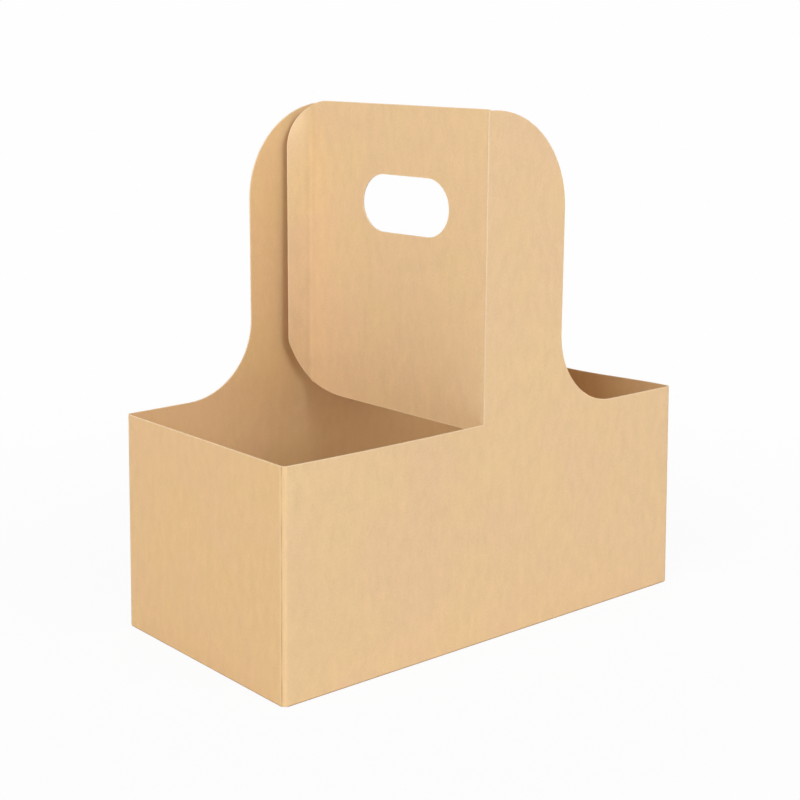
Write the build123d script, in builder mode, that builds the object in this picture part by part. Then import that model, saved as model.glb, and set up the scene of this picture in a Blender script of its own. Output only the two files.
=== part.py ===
"""Cardboard carrier for two takeaway cups: an open folded box and the glued-in sheet that is its handle.

Millimetres. +Z is up, the carrier stands on z = 0, and the origin is under the middle of the box.
The long walls face -Y (front) and +Y (rear). The short end walls face -X and +X.
"""
import os
from math import cos, radians, sin

from build123d import *

os.makedirs("parts", exist_ok=True)

# The board
card = 0.5  # thickness of the kraft board
glue_line = 0.05  # what the glue leaves between two sheets

# The box
box_length = 200.0
box_width = 101.0
rim_height = 86.0
corner_radius = 2.0  # outside of the four upright folds
base_radius = 0.8  # outside of the folds round the bottom
corner_foot = 0.5  # how far the upright folds stop above the ground

# The tall panel that carries on upwards from each long wall
panel_height = 201.6  # above the ground
panel_width = 40.6
panel_corner_radius = 37.5  # the large round top corner
panel_root_radius = 30.0  # the hollow round that runs out into the rim
rear_panel_overrun = 6.6  # how far the rear tall panel runs on past the straight edge of the front one

# The handle sheet: a flat blank with a fold and a glued tab at each side
handle_x = -7.6  # its left face at the front wall, level with the straight edge of the front tall panel
handle_turn = 5.0  # degrees that it stands off square to the long walls
handle_proud = 0.8  # its top edge above the tall panels
handle_tuck = 3.7  # its bottom edge below the rim, at the front wall
handle_rise = 2.0  # how much higher the bottom edge is towards the rear
tab_width = 9.6
front_tab_flat = 0.6  # top edge of the front tab past its fold, before it slants down
front_tab_radius = 9.0  # lower corner of the front tab
rear_tab_turn = 35.7  # degrees that the rear tab stands off the rear panel, which only its end touches
rear_tab_radius = 19.0  # upper corner of the rear tab, which reaches past its fold
rear_tab_slant = 17.8  # height over which the lower end of the rear tab slants up from its fold
rear_tab_bow = 50.0  # radius of that slanting end, which bulges a little
rear_tab_toe = 8.0  # round where it runs out into the free edge
heel_length = 18.0  # stretch before the rear fold where the bottom edge curves up
heel_height = 4.0
front_fold_radius = 1.0  # outside of the fold behind the front panel
rear_fold_radius = 3.0  # inside of the fold before the rear panel

# The hand hole, through the handle sheet
hole_length = 45.4
hole_height = 22.2
hole_drop = 37.8  # its middle below the top edge
hole_reach = 41.3  # its middle along the sheet from the front fold

# The bottom: two outer flaps that hook past each other, and two end flaps glued on top of them
hook_reach = 9.0  # how far each outer flap reaches over the middle line
hook_slope = 16.0  # length of the slanting step between the two halves
flap_gap = 0.4
step_start = 0.2  # between the fold at the foot of an end wall and the step in its flap
step_length = 3.0  # over which the flap climbs from the ground on to the outer flaps
step_radius = 2.0
end_flap_depth = 72.0
end_flap_chamfer = 14.0

# The seam that closes the box, at its rear right fold
lap_width = 15.0
lap_root = 1.2  # how far the lap carries on into the fold
lap_margin = 3.0  # how far the lap stops short of the rim and of the bottom
seam_gap = 0.3

# Faces and ends that several features share
half_length = box_length / 2
half_width = box_width / 2
long_run = half_length - corner_radius  # end of the flat of a long wall
end_run = half_width - corner_radius  # end of the flat of an end wall
base_inner_radius = base_radius - card
outer_flap_end = half_length - base_radius - step_start - step_length
end_flap_start = outer_flap_end - step_length  # where an end flap is level again, on the outer flaps
rear_panel_x = handle_x + rear_panel_overrun  # straight edge of the rear tall panel
wall_face = half_width - card  # inside of a long wall
end_face = half_length - card  # inside of an end wall
glued_face = wall_face - glue_line  # glued side of a tab
handle_top = panel_height + handle_proud
handle_foot = rim_height - handle_tuck
tab_rise = card * cos(radians(rear_tab_turn)) + tab_width * sin(radians(rear_tab_turn))  # fold to wall
handle_span = (2 * glued_face - tab_rise) / cos(radians(handle_turn))  # between the two folds
fold_zone = rear_fold_radius + card  # more than a fold takes up each side of its corner
well_clear = 2 * box_length  # past the whole object, for cutting shapes
on_ground = (Align.CENTER, Align.CENTER, Align.MIN)


def long_wall(straight_x, towards):
    """Outline of a long wall: level at the rim, with a tall panel from straight_x towards +X or -X."""
    edge_x = straight_x + towards * panel_width
    crown_x = edge_x - towards * panel_corner_radius
    root_x = edge_x + towards * panel_root_radius
    crown_z = panel_height - panel_corner_radius
    root_z = rim_height + panel_root_radius
    with BuildSketch(Plane.XZ) as wall:
        with BuildLine():
            Polyline(
                (root_x, rim_height),
                (straight_x, rim_height),
                (straight_x, panel_height),
                (crown_x, panel_height),
            )
            CenterArc((crown_x, crown_z), panel_corner_radius, 90, -90 * towards)
            Line((edge_x, crown_z), (edge_x, root_z))
            CenterArc((root_x, root_z), panel_root_radius, 90 + 90 * towards, 90 * towards)
        make_face()
        Rectangle(well_clear, rim_height, align=(Align.CENTER, Align.MIN))
    return wall.sketch


def long_fold(side):
    """Section of the quarter fold from the long wall at the -1 or +1 side into its outer flap."""
    outward = Align.MAX if side < 0 else Align.MIN
    with BuildSketch(Plane.YZ) as fold:
        with Locations((side * (half_width - base_radius), base_radius)):
            Circle(base_radius)
            Circle(base_inner_radius, mode=Mode.SUBTRACT)
            Rectangle(base_radius, base_radius, align=(outward, Align.MAX), mode=Mode.INTERSECT)
    return fold.sketch


def end_fold(side):
    """Section of the fold at the foot of an end wall, and of the step up on to the outer flaps."""
    with BuildSketch(Plane.XZ) as fold:
        with BuildLine():
            FilletPolyline(
                (side * half_length, 2 * base_radius),
                (side * half_length, 0),
                (side * (outer_flap_end + step_length), 0),
                (side * outer_flap_end, card),
                (side * end_flap_start, card),
                radius=[base_radius, step_radius, step_radius],
            )
            offset(amount=card, side=Side.RIGHT if side > 0 else Side.LEFT)
        make_face()
    return fold.sketch


def handle_blank():
    """The handle sheet laid flat: along from its front fold, up from the ground, with the hand hole in it."""
    heel = (handle_span - heel_length, handle_foot + handle_rise)
    fold_foot = (handle_span, handle_foot + handle_rise + heel_height)
    toe = (handle_span + tab_width, fold_foot[1] + rear_tab_slant)
    with BuildSketch() as blank:
        with BuildLine():
            bottom = Line((-tab_width, handle_foot), heel)
            TangentArc(heel, fold_foot, tangent=bottom % 1)
            RadiusArc(fold_foot, toe, -rear_tab_bow)
            Polyline(toe, (toe[0], handle_top), (-tab_width, handle_top), (-tab_width, handle_foot))
        make_face()
        fillet(blank.vertices().sort_by_distance(toe)[0], rear_tab_toe)
        fillet(blank.vertices().group_by(Axis.Y)[-1].sort_by(Axis.X)[-1], rear_tab_radius)
        chamfer(blank.vertices().group_by(Axis.Y)[-1].sort_by(Axis.X)[0], tab_width - front_tab_flat)
        fillet(blank.vertices().sort_by_distance((-tab_width, handle_foot))[0], front_tab_radius)
        with Locations((hole_reach, handle_top - hole_drop)):
            SlotOverall(hole_length, hole_height, mode=Mode.SUBTRACT)
    return blank.sketch


def offcut(plane, low, high):
    """What is cut away from one flat of the handle sheet, between two distances from its front fold."""
    with BuildSketch(plane) as waste:
        with Locations((low, 0)):
            Rectangle(high - low, well_clear, align=(Align.MIN, Align.MIN))
        add(handle_blank(), mode=Mode.SUBTRACT)
    return waste.sketch


# The walls as they are cut: what stands above the rim is only the two tall panels
with BuildPart() as wall_outlines:
    extrude(long_wall(handle_x, 1), amount=box_width)
    extrude(long_wall(rear_panel_x, -1), amount=-box_width)

# The box: one sheet, folded round at four corners and closed below
with BuildPart() as carrier_box:
    # Walls, with the rim and the tall panels
    with BuildSketch(Plane.XY.offset(corner_foot)):
        RectangleRounded(box_length, box_width, corner_radius)
        RectangleRounded(2 * end_face, 2 * wall_face, corner_radius - card, mode=Mode.SUBTRACT)
    extrude(amount=panel_height)
    add(wall_outlines.part, mode=Mode.INTERSECT)

    # Lower edges of the walls, cut back to where the bottom folds begin
    Box(2 * long_run, well_clear, base_radius, align=on_ground, mode=Mode.SUBTRACT)
    Box(well_clear, 2 * end_run, base_radius, align=on_ground, mode=Mode.SUBTRACT)

    # Folds into the bottom
    for side in (-1, 1):
        extrude(long_fold(side), amount=long_run, both=True)
        extrude(end_fold(side), amount=end_run, both=True)

    # Outer flaps, hooked past each other along a stepped seam
    with BuildSketch():
        Rectangle(2 * outer_flap_end, box_width - 2 * base_radius)
        with BuildLine():
            Polyline(
                (-half_length, hook_reach),
                (-hook_slope / 2, hook_reach),
                (hook_slope / 2, -hook_reach),
                (half_length, -hook_reach),
            )
        trace(line_width=flap_gap, mode=Mode.SUBTRACT)
    extrude(amount=card)

    # End flaps, glued on the outer flaps
    for side in (-1, 1):
        with BuildSketch(Plane.XY.offset(card)) as end_flap:
            with Locations((side * end_flap_start, 0)):
                Rectangle(
                    end_flap_start - half_length + end_flap_depth,
                    2 * end_run,
                    align=(Align.MIN if side < 0 else Align.MAX, Align.CENTER),
                )
            chamfer(end_flap.vertices().group_by(Axis.X)[-1 if side < 0 else 0], end_flap_chamfer)
        extrude(amount=card)

    # Glued lap inside the rear wall, and the edge of the rear wall beside the fold
    with BuildSketch(Plane.XY.offset(lap_margin)):
        with Locations((long_run - lap_width, wall_face)):
            Rectangle(lap_width + lap_root, card, align=(Align.MIN, Align.MAX))
    extrude(amount=rim_height - 2 * lap_margin)
    with BuildSketch(Plane.XY.offset(base_radius)):
        with Locations((long_run, wall_face)):
            Rectangle(seam_gap, card, align=(Align.MAX, Align.MIN))
    extrude(amount=rim_height, mode=Mode.SUBTRACT)

carrier_box.part.label = "carrier_box"
export_step(carrier_box.part, "parts/carrier_box.step")

# The handle sheet: a Z in plan, its front tab behind the front panel and its rear tab before the rear one
handle_along = Vector(-sin(radians(handle_turn)), cos(radians(handle_turn)), 0)
tab_along = Vector(-cos(radians(rear_tab_turn)), sin(radians(rear_tab_turn)), 0)
front_corner = Vector(handle_x, -glued_face, 0)
rear_corner = front_corner + handle_along * handle_span
rear_end = rear_corner + tab_along * tab_width
handle_plane = Plane(origin=front_corner, x_dir=handle_along, z_dir=(handle_along.Y, -handle_along.X, 0))
front_tab_plane = Plane(origin=front_corner, x_dir=(-1, 0, 0), z_dir=(0, 1, 0))
rear_tab_plane = Plane(
    origin=rear_corner - tab_along * handle_span,
    x_dir=tab_along,
    z_dir=(tab_along.Y, -tab_along.X, 0),
)

with BuildPart() as handle_divider:
    with BuildSketch(Plane.XY.offset(handle_foot)):
        with BuildLine():
            FilletPolyline(
                (handle_x + tab_width, -glued_face),
                (front_corner.X, front_corner.Y),
                (rear_corner.X, rear_corner.Y),
                (rear_end.X, rear_end.Y),
                radius=[front_fold_radius, rear_fold_radius],
            )
            offset(amount=card, side=Side.RIGHT)
        make_face()
    extrude(amount=handle_top - handle_foot)

    # Outline and hand hole, cut as they lie in the flat blank
    for waste in (
        offcut(handle_plane, -2 * card, handle_span + 2 * card),
        offcut(front_tab_plane, -2 * tab_width, 2 * card),
        offcut(rear_tab_plane, handle_span, handle_span + 2 * tab_width),
    ):
        extrude(waste, amount=fold_zone, both=True, mode=Mode.SUBTRACT)

handle_divider.part.label = "handle_divider"
export_step(handle_divider.part, "parts/handle_divider.step")
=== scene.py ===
"""Looks of the cardboard cup carrier: two sheets of bare kraft board in a plain white studio."""
from math import cos, pi, radians, sin

import bmesh
import bpy
from mathutils import Matrix, Vector
from mathutils.bvhtree import BVHTree


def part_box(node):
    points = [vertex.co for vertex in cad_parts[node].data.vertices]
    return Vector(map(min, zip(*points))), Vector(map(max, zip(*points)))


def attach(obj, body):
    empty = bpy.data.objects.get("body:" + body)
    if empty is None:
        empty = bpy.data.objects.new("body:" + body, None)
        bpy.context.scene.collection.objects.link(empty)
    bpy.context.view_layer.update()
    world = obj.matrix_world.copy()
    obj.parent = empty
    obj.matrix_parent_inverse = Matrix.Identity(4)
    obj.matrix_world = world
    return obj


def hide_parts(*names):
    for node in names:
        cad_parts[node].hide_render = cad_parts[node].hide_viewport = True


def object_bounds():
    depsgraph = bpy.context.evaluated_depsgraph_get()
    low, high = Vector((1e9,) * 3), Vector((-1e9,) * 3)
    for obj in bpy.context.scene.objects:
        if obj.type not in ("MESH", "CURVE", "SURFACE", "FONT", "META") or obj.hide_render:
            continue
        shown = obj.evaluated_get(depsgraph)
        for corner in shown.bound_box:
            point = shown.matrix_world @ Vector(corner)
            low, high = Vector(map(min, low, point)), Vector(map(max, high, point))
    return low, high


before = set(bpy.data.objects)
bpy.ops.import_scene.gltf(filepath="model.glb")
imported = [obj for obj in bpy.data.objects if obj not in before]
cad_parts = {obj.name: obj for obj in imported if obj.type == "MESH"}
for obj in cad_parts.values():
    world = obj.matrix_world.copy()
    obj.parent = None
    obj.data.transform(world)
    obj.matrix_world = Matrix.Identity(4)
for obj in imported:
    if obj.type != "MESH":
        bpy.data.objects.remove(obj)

MM = 0.001
cad_low, cad_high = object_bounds()
box_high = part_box("carrier_box")[1]
handle_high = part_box("handle_divider")[1]

# Sizes and places of the flat and square model
half_length = box_high.x
half_width = box_high.y
rim_height = 86 * MM
handle_x = -7.6 * MM  # left face of the handle sheet at the front wall
rear_fold = Vector((-15.8, 43.8, 0)) * MM  # where the handle sheet turns into its rear tab
tab_along = Vector((-0.812, 0.584, 0))  # the way the rear tab runs from that fold
tab_width = 9.6 * MM

# How the sheets are meshed
mesh_step = 4 * MM  # spacing of the lines along which a sheet can bend
weld = 0.002 * MM
flat_angle = radians(0.5)  # faces that turn less than this are joined before the sheet is cut
thickest_board = 1.6 * MM  # doubled and glued board is thinner than this, a cut edge is deeper
smooth_angle = radians(35)

# How the real sheets are sprung out of true
foot_out_right = 2.3 * MM  # the right end wall leans out at the ground
foot_out_left = 1.1 * MM
foot_out_front = 0.5 * MM  # both long walls lean out at the ground
left_rim_drop = 0.35 * MM  # the rim at the left end is lower, most of all at the rear
left_rim_slant = 0.7  # share of that drop which is added at the rear and taken off at the front
end_bow = 6.3 * MM  # the rim of the right end wall bows in
end_bow_rise = 1.5  # more than 1 keeps the bow near the rim
front_bulge = 1.2 * MM  # the front rim left of the handle bulges out
front_bulge_rise = 2
handle_tilt = 0.4 * MM  # the handle's top edge is higher at the rear and lower at the front
tab_spring = 2.5 * MM  # the free edge of the rear tab stands off the rear panel
tab_spring_more = 1.5 * MM  # and further off towards its lower end
tab_held_above = 197 * MM
tab_free_below = 185 * MM
tab_foot = 110 * MM
tab_curl = 1.4  # more than 1 bends the tab and less turns it about its fold

# Camera, fitted to the corners of the box in the photograph
image_size = 800
focal_px = 1533.8
principal_y_px = 360
sensor_mm = 36
camera_azimuth = radians(-40.684)
camera_elevation = radians(11.454)
camera_roll = radians(0.382)
camera_distance = 608.31 * MM
camera_near = 10 * MM
aim_height = 110 * MM
aim_right = -4.29 * MM
aim_up = -8.10 * MM

# Colours, linear
KRAFT_YELLOW = (0.792, 0.550, 0.290)
KRAFT_PINK = (0.790, 0.537, 0.302)
END_WALL_PAINTED_SHADE = (0.975, 0.94, 0.88)  # painted shade: the end walls are coloured a little warmer and darker, as if less lit
INNER_PAINTED_SHADE = (0.96, 0.93, 0.85)  # painted shade: the side of the box's sheet that faces in is coloured warmer and darker, as if in the box's shade
TAB_PAINTED_LIGHT = (1.01, 1.05, 1.09)  # painted light: the rear tab is coloured a little paler, as if it caught more light
KRAFT_FIBRE = (0.90, 0.70, 0.47)
KRAFT_SPECK = (0.52, 0.32, 0.16)
# dark brown of painted shade at the ground and along the rear fold, and of the pressed lines, which are
# partly crushed board
CREASE_AND_PAINTED_SHADE = (0.42, 0.24, 0.11)
CUT_EDGE = (0.93, 0.73, 0.50)
CUT_EDGE_DARK = (0.80, 0.58, 0.36)
AMBIENT = (1.0, 0.85, 0.7)
FLOOR_PAINT = (0.85, 0.85, 0.85)
WHITE = (1.0, 1.0, 1.0)
white_seen = 0.991  # what shows as the photograph's almost full white

# Noises in the board: waves per millimetre, detail and roughness
CLOUD_NOISE = (0.035, 3.0, 0.5)
MOTTLE_NOISE = (0.26, 5.0, 0.65)
GRAIN_NOISE = (1.6, 3.0, 0.7)
FIBRE_NOISE = (1.0, 1.0, 0.5)
PATCH_NOISE = (0.06, 2.0, 0.5)
LAYER_NOISE = (2.6, 3.0, 0.7)

# Which of a noise's values count, from no effect to the full effect
cloud_span = (0.35, 0.65)
shade_span = (0.25, 0.75)
fibre_span = (0.66, 0.76)
patch_span = (0.40, 0.62)
layer_span = (0.35, 0.70)
roughness_span = (0.2, 0.8)

# How strongly the board's pattern and marks show, and the painted light and shade
mottle_shade = (0.95, 1.045)  # darkest and lightest factor on the colour
grain_shade = (-0.05, 0.05)  # added to that factor
mottle_stretch = (1.0, 1.0, 0.5)  # less than 1 draws the mottle out
fibre_stretch = (0.45, 3.2, 3.2)
fleck_turns = ((0.3, 0.9, 0.5), (1.1, -0.5, -0.9), (-0.4, 0.2, 1.4), (0.8, 1.3, -0.3))
fleck_shift = (17.0, 31.0, 7.0)  # from one layer of flecks to the next, so that they differ
fleck_strength = 0.20
speck_turn = (0.5, 0.4, 2.2)
speck_shift = (90.0, 3.0, 44.0)
speck_strength = 0.14
# dark pressed line beside each upright fold: crushed board deepened with painted shade
crease_shade_strength = 0.65
crease_least = 0.25  # what is left of a pressed line where it is faintest
# paler line beside it: partly crushed board, partly a painted highlight
pale_strength = 0.35
# painted shade along the rear tab's fold
tab_fold_shade_strength = 0.10
cut_edge_strength = 0.7
# painted shade along the ground
ground_shade_strength = 0.9

# Where the marks and the painted light and shade lie, in millimetres
end_wall_from = 1.4  # from the end of the box, where the end wall's painted shade sets in
end_wall_full = 0.2
crease_inset = 1.3  # from the long wall's face to the pressed line beside its fold
crease_half = 0.40  # half its width
pale_gap = 0.6  # from the pressed line to the paler line next to it
pale_half = 0.50  # half its width
tab_span = (0.5, 3.0)  # past the rear fold, where the tab's painted light sets in
tab_fold_shade_span = (0.8, 4.0)  # from the rear fold, where its painted shade fades out
ground_shade_span = (0.3, 0.9)  # above the ground, where the painted shade there fades out
edge_line = 0.4  # width of the paler line beside a cut edge

# How that line is found: how open the board's inside is at a cut edge and past the line
edge_span = (0.6, 0.95)
edge_samples = 8

# Surface of the board
bump_strength = 0.6
grain_relief = 0.6
fleck_relief = 0.5
face_depth = 0.03 * MM
edge_depth = 0.04 * MM
face_roughness = (0.80, 0.90)
edge_roughness = 0.9
board_ior = 1.45
board_gloss = 0.25

# Floor
floor_radius = 6.0
floor_corners = 128
shadow_span = (0.12, 0.45)  # from the middle of the carrier, where its shadow fades out
shadow_white = 0.95  # how much plain white covers the shadow close to the carrier
bare_ends = 1.0 * MM  # the floor is left dark further in than this from the ends of the box
bare_sides = (1.4 * MM, 0.4 * MM)  # in from its long walls, where the floor turns from dark to white

# Lamps: place, size, power and colour
LAMPS = {
    "lamp_front": ((0.34, -2.4, 1.6), 2.2, 50, (0.86, 0.91, 1.0)),
    "lamp_left": ((-2.4, -0.65, 1.7), 2.0, 62, (0.94, 0.97, 1.0)),
    "lamp_rear": ((1.9, 2.1, 1.6), 1.6, 30, (0.93, 0.96, 1.0)),
}
ambient = 0.185


class Nodes:
    """Short calls that add shader nodes to one tree and link them."""

    def __init__(self, tree):
        self.tree = tree
        tree.nodes.clear()

    def add(self, kind, inputs=None, **settings):
        node = self.tree.nodes.new(kind)
        for key, value in settings.items():
            setattr(node, key, value)
        for key, value in (inputs or {}).items():
            if isinstance(value, bpy.types.NodeSocket):
                self.tree.links.new(value, node.inputs[key])
            else:
                node.inputs[key].default_value = value
        return node

    def attribute(self, name, output):
        return self.add("ShaderNodeAttribute", attribute_name=name).outputs[output]

    def math(self, operation, *values):
        return self.add("ShaderNodeMath", dict(enumerate(values)), operation=operation).outputs[0]

    def times(self, *values):
        """The product of two or more values."""
        product = values[0]
        for value in values[1:]:
            product = self.math("MULTIPLY", product, value)
        return product

    def vector(self, operation, *values):
        """A vector worked out from vectors."""
        node = self.add("ShaderNodeVectorMath", dict(enumerate(values)), operation=operation)
        return node.outputs["Vector"]

    def measure(self, operation, *values):
        """A number worked out from vectors, such as a length."""
        node = self.add("ShaderNodeVectorMath", dict(enumerate(values)), operation=operation)
        return node.outputs["Value"]

    def split(self, vector):
        """The three parts of a vector, as sockets named X, Y and Z."""
        return self.add("ShaderNodeSeparateXYZ", {0: vector}).outputs

    def scaled(self, vector, scale, turn=(0, 0, 0)):
        """The vector turned and then multiplied by a scale on each axis."""
        inputs = {"Vector": vector, "Rotation": turn}
        turned = self.add("ShaderNodeVectorRotate", inputs, rotation_type="EULER_XYZ")
        return self.vector("MULTIPLY", turned.outputs[0], scale)

    def noise(self, vector, scale, detail, roughness):
        inputs = {"Vector": vector, "Scale": scale, "Detail": detail, "Roughness": roughness}
        return self.add("ShaderNodeTexNoise", inputs).outputs[0]

    def band(self, value, low, high, out_low=0.0, out_high=1.0, smooth=True):
        """The value mapped from low..high to out_low..out_high and held at the ends."""
        kind = "SMOOTHSTEP" if smooth else "LINEAR"
        inputs = {"Value": value, "From Min": low, "From Max": high, "To Min": out_low, "To Max": out_high}
        return self.add("ShaderNodeMapRange", inputs, interpolation_type=kind).outputs[0]

    def line(self, value, middle, half):
        """1 where the value is at the middle, falling to 0 at half a width away."""
        away = self.math("ABSOLUTE", self.math("SUBTRACT", value, middle))
        return self.band(away, 0.0, half, 1.0, 0.0)

    def mix(self, factor, first, second):
        """The first colour turning into the second as the factor goes from 0 to 1."""
        node = self.tree.nodes.new("ShaderNodeMix")
        node.data_type = "RGBA"
        for index, value in ((0, factor), (6, first), (7, second)):
            socket = node.inputs[index]
            if isinstance(value, bpy.types.NodeSocket):
                self.tree.links.new(value, socket)
            else:
                socket.default_value = value if isinstance(value, float) else (*value, 1.0)
        return node.outputs[2]

    def toned(self, colour, tone, mask):
        """The colour multiplied by a tone where the mask is 1."""
        return self.mix(mask, colour, self.vector("MULTIPLY", colour, tone))


def new_material(name):
    material = bpy.data.materials.new(name)
    material.use_nodes = True
    return material, Nodes(material.node_tree)


def finish_surface(nodes, colour, height, depth, roughness):
    """Ends a board material: matte, with its relief as a bump of the given depth in metres."""
    bump = nodes.add("ShaderNodeBump", {"Strength": bump_strength, "Distance": depth, "Height": height})
    surface = nodes.add(
        "ShaderNodeBsdfPrincipled",
        {
            "Base Color": colour,
            "Roughness": roughness,
            "Normal": bump.outputs[0],
            "IOR": board_ior,
            "Specular IOR Level": board_gloss,
        },
    )
    nodes.add("ShaderNodeOutputMaterial", {"Surface": surface.outputs[0]})


def plain_kraft(nodes, place, mottle, grain):
    """The board's own colour: clouds of two tints, shaded by the mottle and the grain."""
    clouds = nodes.band(nodes.noise(place, *CLOUD_NOISE), *cloud_span)
    tint = nodes.mix(clouds, KRAFT_YELLOW, KRAFT_PINK)
    mottled = nodes.band(mottle, *shade_span, *mottle_shade, smooth=False)
    grained = nodes.band(grain, *shade_span, *grain_shade, smooth=False)
    shade = nodes.math("ADD", mottled, grained)
    return nodes.add("ShaderNodeVectorMath", {0: tint, "Scale": shade}, operation="SCALE").outputs[0]


def fibres(nodes, place, turn, shift):
    """Sparse long fibres lying one way, from 0 to 1."""
    stretched = nodes.scaled(nodes.vector("ADD", place, shift), fibre_stretch, turn)
    return nodes.band(nodes.noise(stretched, *FIBRE_NOISE), *fibre_span)


def pale_flecks(nodes, place):
    """Layers of fibres, each lying its own way."""
    flecks = None
    for index, turn in enumerate(fleck_turns):
        layer = fibres(nodes, place, turn, [index * part for part in fleck_shift])
        flecks = layer if flecks is None else nodes.math("MAXIMUM", flecks, layer)
    return flecks


def box_marks(nodes, place, colour):
    """Painted shade on end walls and inside; lines by the folds: pressed board, painted shade and
    highlight.
    """
    parts = nodes.split(place)
    along = nodes.math("ABSOLUTE", parts["X"])
    across = nodes.math("ABSOLUTE", parts["Y"])
    faces_in = nodes.attribute("faces_in", "Fac")
    at_end = nodes.band(along, half_length / MM - end_wall_from, half_length / MM - end_wall_full)
    on_end_wall = nodes.times(at_end, nodes.math("SUBTRACT", 1.0, faces_in))
    # painted shade: the outer faces of the end walls are toned warmer and darker
    colour = nodes.toned(colour, END_WALL_PAINTED_SHADE, on_end_wall)
    # painted shade: the inward faces are toned warmer and darker
    colour = nodes.toned(colour, INNER_PAINTED_SHADE, faces_in)
    crease_y = half_width / MM - crease_inset
    # a paler line beside the fold, partly crushed board and partly a painted highlight
    pale = nodes.times(nodes.line(across, crease_y - pale_gap, pale_half), on_end_wall)
    colour = nodes.mix(nodes.times(pale, pale_strength), colour, KRAFT_FIBRE)
    # a dark pressed line, crushed board deepened with painted shade in its groove
    patches = nodes.band(nodes.noise(place, *PATCH_NOISE), *patch_span, crease_least, 1.0)
    dark = nodes.times(nodes.line(across, crease_y, crease_half), on_end_wall, patches)
    return nodes.mix(nodes.times(dark, crease_shade_strength), colour, CREASE_AND_PAINTED_SHADE)


def handle_marks(nodes, place, colour):
    """Painted light on the rear tab, toned paler, and painted shade along its fold."""
    from_fold = nodes.vector("SUBTRACT", place, rear_fold / MM)
    on_tab = nodes.band(nodes.measure("DOT_PRODUCT", from_fold, tab_along), *tab_span)
    reach = nodes.measure("LENGTH", nodes.scaled(from_fold, (1.0, 1.0, 0.0)))
    # painted shade along the rear fold
    tab_fold_shade = nodes.band(reach, *tab_fold_shade_span, 1.0, 0.0)
    # painted light: the tab is toned paler
    colour = nodes.toned(colour, TAB_PAINTED_LIGHT, on_tab)
    return nodes.mix(nodes.times(tab_fold_shade, tab_fold_shade_strength), colour, CREASE_AND_PAINTED_SHADE)


def near_cut_edge(nodes):
    """1 on the last part of a millimetre of a face before a cut edge, where the knife bared the fibres."""
    inside = nodes.add(
        "ShaderNodeAmbientOcclusion",
        {"Distance": edge_line * MM},
        inside=True,
        only_local=True,
        samples=edge_samples,
    )
    return nodes.band(inside.outputs["AO"], *edge_span, 1.0, 0.0)


def kraft_face(name, marks):
    """Both faces of a sheet: kraft with flecks and specks, the sheet's marks, painted shade at the ground.
    """
    material, nodes = new_material(name)
    place = nodes.attribute("rest_mm", "Vector")
    mottle = nodes.noise(nodes.scaled(place, mottle_stretch), *MOTTLE_NOISE)
    grain = nodes.noise(place, *GRAIN_NOISE)
    flecks = pale_flecks(nodes, place)
    specks = fibres(nodes, place, speck_turn, speck_shift)
    colour = plain_kraft(nodes, place, mottle, grain)
    colour = nodes.mix(nodes.times(flecks, fleck_strength), colour, KRAFT_FIBRE)
    colour = nodes.mix(nodes.times(specks, speck_strength), colour, KRAFT_SPECK)
    # the sheet's marks, which include painted light and shade
    colour = marks(nodes, place, colour)
    colour = nodes.mix(nodes.times(near_cut_edge(nodes), cut_edge_strength), colour, CUT_EDGE)
    # painted shade along the ground, where the bottom edge is in shadow
    ground_shade = nodes.band(nodes.split(place)["Z"], *ground_shade_span, ground_shade_strength, 0.0)
    colour = nodes.mix(ground_shade, colour, CREASE_AND_PAINTED_SHADE)
    height = nodes.math("ADD", nodes.times(grain, grain_relief), nodes.times(flecks, fleck_relief))
    roughness = nodes.band(mottle, *roughness_span, *face_roughness, smooth=False)
    finish_surface(nodes, colour, height, face_depth, roughness)
    return material


def kraft_edge():
    """Cut edges: the pale, slightly layered core of the board."""
    material, nodes = new_material("kraft_cut_edge")
    layers = nodes.noise(nodes.attribute("rest_mm", "Vector"), *LAYER_NOISE)
    colour = nodes.mix(nodes.band(layers, *layer_span), CUT_EDGE, CUT_EDGE_DARK)
    finish_surface(nodes, colour, layers, edge_depth, edge_roughness)
    return material


def grid_cut(mesh, step):
    """Cuts a closed mesh along a regular grid of planes, so that it can bend."""
    for axis in range(3):
        normal = Vector([float(axis == i) for i in range(3)])
        places = [v.co[axis] for v in mesh.verts]
        low, high = min(places), max(places)
        for i in range(1, int((high - low) / step) + 1):
            geometry = mesh.verts[:] + mesh.edges[:] + mesh.faces[:]
            cut_at = normal * (low + i * step)
            bmesh.ops.bisect_plane(mesh, geom=geometry, dist=weld, plane_co=cut_at, plane_no=normal)


def mark_cut_edges(mesh):
    """Gives the second material to the faces that look along the sheet and not across it."""
    tree = BVHTree.FromBMesh(mesh)
    for face in mesh.faces:
        start = face.calc_center_median() - face.normal * weld
        distance = tree.ray_cast(start, -face.normal)[3]
        face.material_index = int(distance is None or distance > thickest_board)


def mark_corners(mesh):
    """Leaves a crisp corner at each sharp turn and between a face of the board and its cut edge."""
    for edge in mesh.edges:
        kinds = {face.material_index for face in edge.link_faces}
        edge.smooth = len(kinds) == 1 and edge.calc_face_angle(0.0) < smooth_angle


def share(value, low, high):
    """How far the value has gone from low to high, from 0 to 1."""
    return min(max((value - low) / (high - low), 0.0), 1.0)


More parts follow.
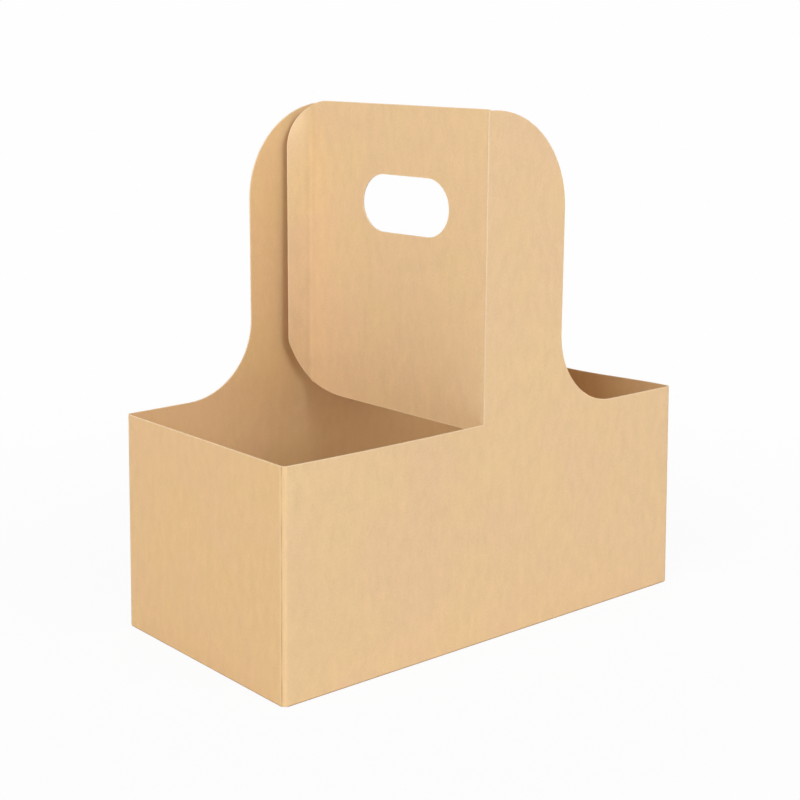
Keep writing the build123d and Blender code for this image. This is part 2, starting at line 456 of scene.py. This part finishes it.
def sprung_box(place):
    """Where a point of the square box lies on the real one, whose walls lean and bow."""
    moved = place.copy()
    rise = share(place.z, 0, rim_height)
    foot_out = foot_out_right if place.x > 0 else foot_out_left
    moved.x += place.x / half_length * foot_out * (1 - rise)
    if place.x > 0:
        middle = (1 + cos(pi * place.y / half_width)) / 2
        moved.x -= place.x / half_length * end_bow * middle * rise ** end_bow_rise
    if place.y < 0:
        along = share(place.x, -half_length, handle_x)
        moved.y -= front_bulge * 4 * along * (1 - along) * rise ** front_bulge_rise
    moved.y += place.y / half_width * foot_out_front * (1 - rise)
    left_end = share(place.x, -half_length / 2, -half_length)
    moved.z -= left_rim_drop * left_end * rise * (1 + left_rim_slant * place.y / half_width)
    return moved


def sprung_handle(place):
    """Where a point of the handle sheet lies on the real one, whose rear tab springs off the panel."""
    moved = place.copy()
    moved.z += handle_tilt * place.y / half_width * share(place.z, rim_height, handle_high.z)
    past_fold = share((place - rear_fold).dot(tab_along), 0, tab_width)
    freed = share(place.z, tab_held_above, tab_free_below)
    further = share(place.z, tab_free_below, tab_foot)
    off = tab_spring * freed ** 2 * (3 - 2 * freed) + tab_spring_more * further
    square_to_tab = Vector((tab_along.y / tab_along.x, -1, 0))
    return moved + square_to_tab * off * past_fold ** tab_curl


def board_piece(name, node, sprung, materials):
    """The finished sheet that stands for a CAD node: the node's own form, cut fine and sprung."""
    mesh = bmesh.new()
    mesh.from_mesh(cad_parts[node].data)
    bmesh.ops.remove_doubles(mesh, verts=mesh.verts, dist=weld)
    bmesh.ops.dissolve_limit(mesh, angle_limit=flat_angle, verts=mesh.verts, edges=mesh.edges)
    grid_cut(mesh, mesh_step)
    mark_cut_edges(mesh)
    mark_corners(mesh)
    data = bpy.data.meshes.new(name)
    mesh.to_mesh(data)
    mesh.free()
    rest = data.attributes.new("rest_mm", "FLOAT_VECTOR", "POINT")
    faces_in = data.attributes.new("faces_in", "FLOAT", "FACE")
    for polygon in data.polygons:
        outward = polygon.normal.dot(Vector((*polygon.center.xy, -half_width)))
        faces_in.data[polygon.index].value = float(outward < 0)
    for vertex in data.vertices:
        rest.data[vertex.index].vector = vertex.co / MM
        vertex.co = sprung(vertex.co)
    for polygon in data.polygons:
        polygon.use_smooth = True
    for material in materials:
        data.materials.append(material)
    piece = bpy.data.objects.new(name, data)
    bpy.context.scene.collection.objects.link(piece)
    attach(piece, "root")
    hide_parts(node)


def floor_white(nodes):
    """How far the floor is seen as plain white: not at all under the box and not quite fully near it."""
    camera_ray = nodes.add("ShaderNodeLightPath").outputs["Is Camera Ray"]
    place = nodes.add("ShaderNodeNewGeometry").outputs["Position"]
    past_shadow = nodes.band(nodes.measure("LENGTH", place), *shadow_span, shadow_white, 1.0)
    away = nodes.split(nodes.vector("ABSOLUTE", place))
    beyond_ends = nodes.band(away["X"], half_length - bare_ends, half_length)
    beyond_sides = nodes.band(away["Y"], half_width - bare_sides[0], half_width - bare_sides[1])
    beyond_box = nodes.math("MAXIMUM", beyond_ends, beyond_sides)
    return nodes.times(camera_ray, past_shadow, beyond_box)


def add_floor():
    """A floor that runs out into plain white, with a faint shadow round the carrier and dark under it."""
    material, nodes = new_material("studio_floor")
    paint = nodes.add("ShaderNodeBsdfDiffuse", {"Color": (*FLOOR_PAINT, 1.0)}).outputs[0]
    glow = nodes.add("ShaderNodeEmission", {"Color": (*WHITE, 1.0), "Strength": white_seen}).outputs[0]
    mixed = nodes.add("ShaderNodeMixShader", {0: floor_white(nodes), 1: paint, 2: glow})
    nodes.add("ShaderNodeOutputMaterial", {"Surface": mixed.outputs[0]})
    bpy.ops.mesh.primitive_circle_add(
        vertices=floor_corners, radius=floor_radius, fill_type="NGON", location=(0, 0, cad_low.z)
    )
    floor = bpy.context.object
    floor.name = "studio_floor"
    floor.data.materials.append(material)


def add_world():
    """Even light from all round, seen as plain white."""
    world = bpy.data.worlds.new("studio")
    bpy.context.scene.world = world
    world.use_nodes = True
    nodes = Nodes(world.node_tree)
    path = nodes.add("ShaderNodeLightPath")
    seen = nodes.math("MAXIMUM", path.outputs["Is Camera Ray"], path.outputs["Is Glossy Ray"])
    seen = nodes.math("MAXIMUM", seen, path.outputs["Is Transmission Ray"])
    light = nodes.add("ShaderNodeBackground", {"Color": (*AMBIENT, 1.0), "Strength": ambient})
    backdrop = nodes.add("ShaderNodeBackground", {"Color": (*WHITE, 1.0), "Strength": white_seen})
    mixed = nodes.add("ShaderNodeMixShader", {0: seen, 1: light.outputs[0], 2: backdrop.outputs[0]})
    nodes.add("ShaderNodeOutputWorld", {"Surface": mixed.outputs[0]})


def add_lamp(name, place, size, power, colour):
    """A square soft lamp at a place, facing the middle of the carrier."""
    data = bpy.data.lights.new(name, "AREA")
    data.size = size
    data.energy = power
    data.color = colour
    lamp = bpy.data.objects.new(name, data)
    lamp.location = place
    towards = (cad_low + cad_high) / 2 - Vector(place)
    lamp.rotation_euler = towards.to_track_quat("-Z", "Y").to_euler()
    bpy.context.scene.collection.objects.link(lamp)


def add_camera():
    """The photograph's view."""
    back = Vector(
        (
            sin(camera_azimuth) * cos(camera_elevation),
            -cos(camera_azimuth) * cos(camera_elevation),
            sin(camera_elevation),
        )
    )
    level = Vector((0, 0, 1)).cross(back).normalized()
    upright = back.cross(level)
    right = level * cos(camera_roll) + upright * sin(camera_roll)
    up = back.cross(right)
    data = bpy.data.cameras.new("camera")
    data.sensor_width = sensor_mm
    data.lens = sensor_mm * focal_px / image_size
    data.shift_y = (principal_y_px - image_size / 2) / image_size
    data.clip_start = camera_near
    camera = bpy.data.objects.new("camera", data)
    place = Vector((0, 0, aim_height)) + right * aim_right + up * aim_up + back * camera_distance
    camera.matrix_world = Matrix.Translation(place) @ Matrix((right, up, back)).transposed().to_4x4()
    bpy.context.scene.collection.objects.link(camera)
    bpy.context.scene.camera = camera


bpy.context.scene.view_settings.view_transform = "Standard"
add_camera()
add_floor()
add_world()
for lamp_name, lamp in LAMPS.items():
    add_lamp(lamp_name, *lamp)

cut_edge = kraft_edge()
box_face = kraft_face("kraft_box", box_marks)
handle_face = kraft_face("kraft_handle", handle_marks)
board_piece("board_box", "carrier_box", sprung_box, (box_face, cut_edge))
board_piece("board_handle", "handle_divider", sprung_handle, (handle_face, cut_edge))
